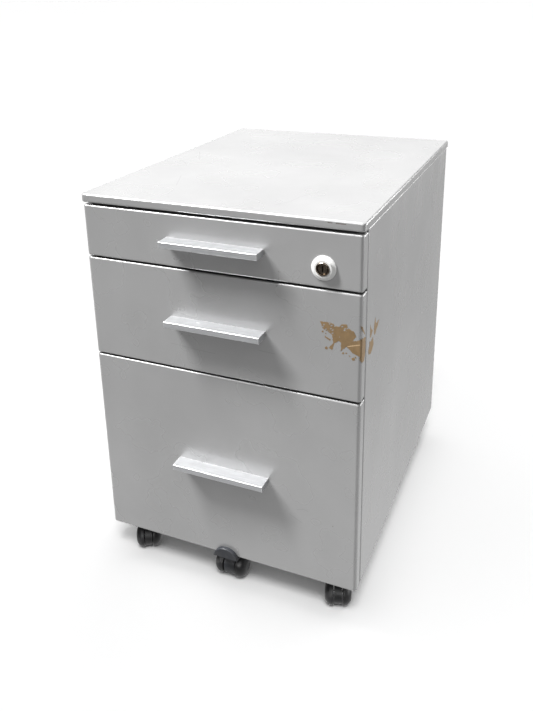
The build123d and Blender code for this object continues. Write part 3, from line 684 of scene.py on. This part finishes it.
def torn_outline(points):
    """The outline in short steps, each pushed aside by the noises, so that it looks torn."""
    torn = []
    for start, end in zip(points, points[1:] + points[:1]):
        start, end = Vector((*start, 0.0)), Vector((*end, 0.0))
        steps = max(1, round((end - start).length / tear_step))
        for step in range(steps):
            point = start.lerp(end, step / steps)
            shakes = [noise.noise_vector(point * often) * far for often, far in tear_noises]
            torn.append(point + sum(shakes, Vector()))
    return torn


def film_piece(name, outlines, wrap, body):
    """Thin torn films as one closed mesh, cut along the bend and laid on the surface."""
    mesh = bmesh.new()
    for outline in outlines:
        mesh.faces.new([mesh.verts.new((point.x, point.y, 0.0)) for point in torn_outline(outline)])
    bmesh.ops.triangulate(mesh, faces=mesh.faces[:])
    arc = front_bend * math.pi / 2 / millimetre
    for step in range(bend_parts + 1):
        whole = mesh.verts[:] + mesh.edges[:] + mesh.faces[:]
        cut = (arc * step / bend_parts, 0.0, 0.0)
        bmesh.ops.bisect_plane(mesh, geom=whole, plane_co=cut, plane_no=(1.0, 0.0, 0.0))
    raised = bmesh.ops.extrude_face_region(mesh, geom=mesh.faces[:])["geom"]
    outer = {part for part in raised if isinstance(part, bmesh.types.BMVert)}
    for vertex in mesh.verts:
        lift = film_thickness if vertex in outer else -film_sink
        x, y = wrap(vertex.co.x * millimetre, lift)
        vertex.co = (x, y, middle_bottom + vertex.co.y * millimetre)
    bmesh.ops.recalc_face_normals(mesh, faces=mesh.faces[:])
    data = bpy.data.meshes.new(name)
    mesh.to_mesh(data)
    mesh.free()
    piece = bpy.data.objects.new(name, data)
    data.materials.append(torn_film(f"{name}_film"))
    bpy.context.scene.collection.objects.link(piece)
    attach(piece, body)


def dress(name, material):
    slots = nodes[name].data.materials
    slots.clear()
    slots.append(material)


def dress_painted():
    """Paints the panels and the drawer fronts, each with its own marks and painted shade on its rims."""
    painted = {
        "left_side_panel": ([], [], painted_shade_beside),
        "right_side_panel": ([], [], painted_shade_beside),
        "back_panel": ([], [], None),
        "top_cover": (placed(cover_scratches, on_top), placed(cover_chips, on_cover_edge), None),
        "top_drawer_front": (placed(top_scratches, on_front), placed(top_chips, on_front), painted_shade_behind),
        "middle_drawer_front": (
            placed(middle_scratches, on_front), placed(middle_chips, on_front), painted_shade_around,
        ),
        "file_drawer_front": (placed(file_scratches, on_front), placed(file_chips, on_front), painted_shade_around),
    }
    for name, (scratches, chips, painted_gap_shade) in painted.items():
        dress(name, silver_paint(name, scratches, chips, painted_gap_shade))


def dress_fittings():
    """Gives the handles and the lock their metal and plastic."""
    dabs = {
        "top_drawer_handle": [],
        "middle_drawer_handle": placed(handle_dabs, on_handle),
        "file_drawer_handle": [],
    }
    for name, marks in dabs.items():
        dress(name, brushed_handle(name, marks))
    dress("lock_escutcheon", white_plastic("ring_plastic"))
    housing = dark_bronze("lock_housing", housing_level, lock_nose_radius, bevel=0.0016, painted_highlight_strength=0.12)
    plug = dark_bronze("lock_plug", plug_level, lock_plug_radius, bevel=0.0015, painted_highlight_strength=0.0)
    dress("lock_housing", housing)
    dress("lock_plug", plug)


def dress_rest():
    """Gives the drawer boxes, the runners and the casters their finishes, found by the nodes' names."""
    inner = inner_paint("inner_paint")
    zinc = zinc_steel("zinc_steel")
    black = black_plastic("caster_plastic", caster_black, dusty=0.25, rough_low=0.34)
    shield = black_plastic("shield_plastic", shield_black, dusty=0.20, rough_low=0.38)
    inner_ends = ("_box", "_uprights", "base_plate", "front_rail")
    zinc_ends = ("_rails", "_cages", "_screws", "_plates", "_axle", "_guides", "lock_bar", "lock_cam")
    for name in nodes:
        if name.endswith(inner_ends):
            dress(name, inner)
        elif name.endswith(zinc_ends):
            dress(name, zinc)
        elif name.endswith(("_wheel", "_body")):
            dress(name, black)
    dress("fifth_caster_bracket", shield)


def share_lamps():
    """Keeps the lamps to the object and the sun to the floor, which then shows soft shadows only."""
    object_lit = bpy.data.collections.new("object_lit")
    floor_lit = bpy.data.collections.new("floor_lit")
    for thing in bpy.context.scene.objects:
        if thing.type == "MESH":
            lit = floor_lit if thing.name == "floor" else object_lit
            lit.objects.link(thing)
    for name in lamps:
        bpy.data.objects[name].light_linking.receiver_collection = object_lit
    bpy.data.objects["floor_sun"].light_linking.receiver_collection = floor_lit


place_camera()
light_studio()
lay_floor()
dress_painted()
dress_fittings()
dress_rest()
noise.seed_set(tear_seed)
flecks = [fleck_outline(*fleck) for fleck in film_flecks]
film_piece("front_residue", film_outlines + flecks, wrapped_front, "middle_drawer")
film_piece("side_residue", streak_outlines, wrapped_side, "carcass")
share_lamps()
